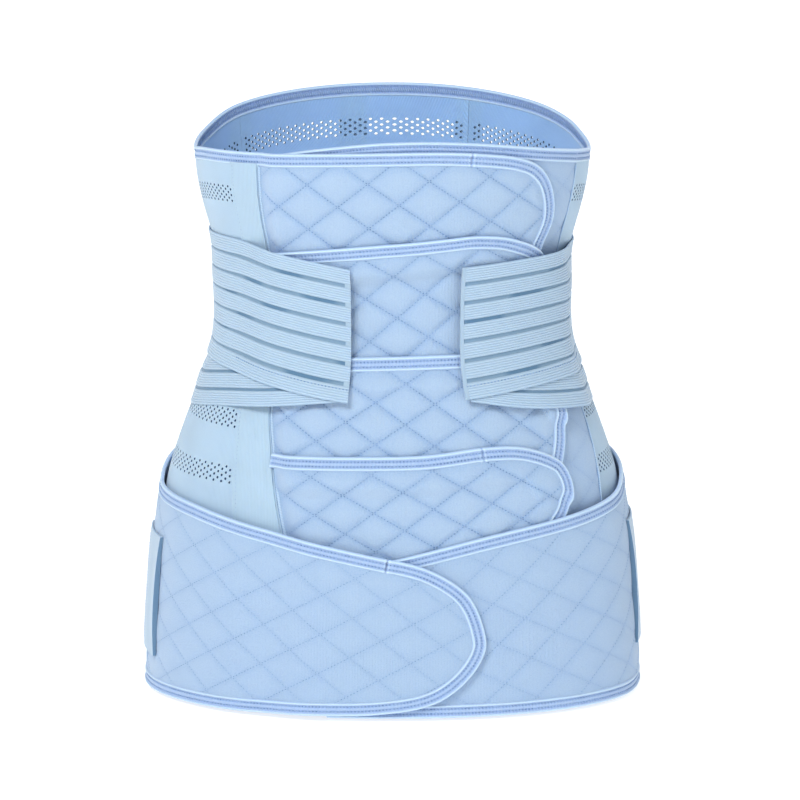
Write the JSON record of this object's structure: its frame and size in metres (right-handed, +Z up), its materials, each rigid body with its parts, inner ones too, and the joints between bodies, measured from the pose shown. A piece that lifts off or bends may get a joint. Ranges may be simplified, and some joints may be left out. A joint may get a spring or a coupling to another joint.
{
  "type": "abdominal_binder",
  "caption": "Light blue postpartum abdominal binder shown worn: quilted front flaps, striped elastic waist bands with tabs, wide quilted pelvic belt with bound edges",
  "frame": {"origin": "middle of the body hollow at the waist, the narrowest level", "axes": "+Z up toward the wearer's chest, -Y out of the wearer's front, +X toward the wearer's left side"},
  "size_m": [0.3307, 0.2253, 0.3829],
  "materials": {
    "quilted_cloth": "soft brushed knit quilted over thin wadding",
    "perforated_knit": "fine ribbed elastic knit with rows of perforations",
    "striped_elastic": "woven elastic with fine lengthwise ribs",
    "binding_tape": "folded stretch binding with a slight sheen",
    "seam_piping": "smooth narrow piping"
  },
  "bodies": {
    "root": {"flap_1": "quilted_cloth", "flap_2": "quilted_cloth", "flap_3": "quilted_cloth", "flap_4": "quilted_cloth", "flap_1_binding": "binding_tape", "flap_2_binding": "binding_tape", "flap_3_binding": "binding_tape", "flap_4_binding": "binding_tape", "under_panel": "quilted_cloth", "under_panel_binding": "binding_tape", "knit_left": "perforated_knit", "knit_back": "perforated_knit", "knit_right": "perforated_knit", "rim_binding": "binding_tape", "stay_channel_front": "perforated_knit", "stay_channel_left": "perforated_knit", "stay_channel_back": "perforated_knit", "stay_channel_right": "perforated_knit", "seam_piping_left": "seam_piping", "seam_piping_right": "seam_piping", "waist_band_left": "striped_elastic", "waist_band_right": "striped_elastic", "lower_strips_left": "striped_elastic", "lower_strips_right": "striped_elastic", "belt_left": "quilted_cloth", "belt_left_binding": "binding_tape", "belt_right": "quilted_cloth", "belt_right_top_binding": "binding_tape", "belt_right_hem_binding": "binding_tape", "belt_back": "quilted_cloth", "belt_back_top_binding": "binding_tape", "belt_back_hem_binding": "binding_tape", "side_strap_left": "striped_elastic", "side_strap_right": "striped_elastic"}
  },
  "joints": []
}
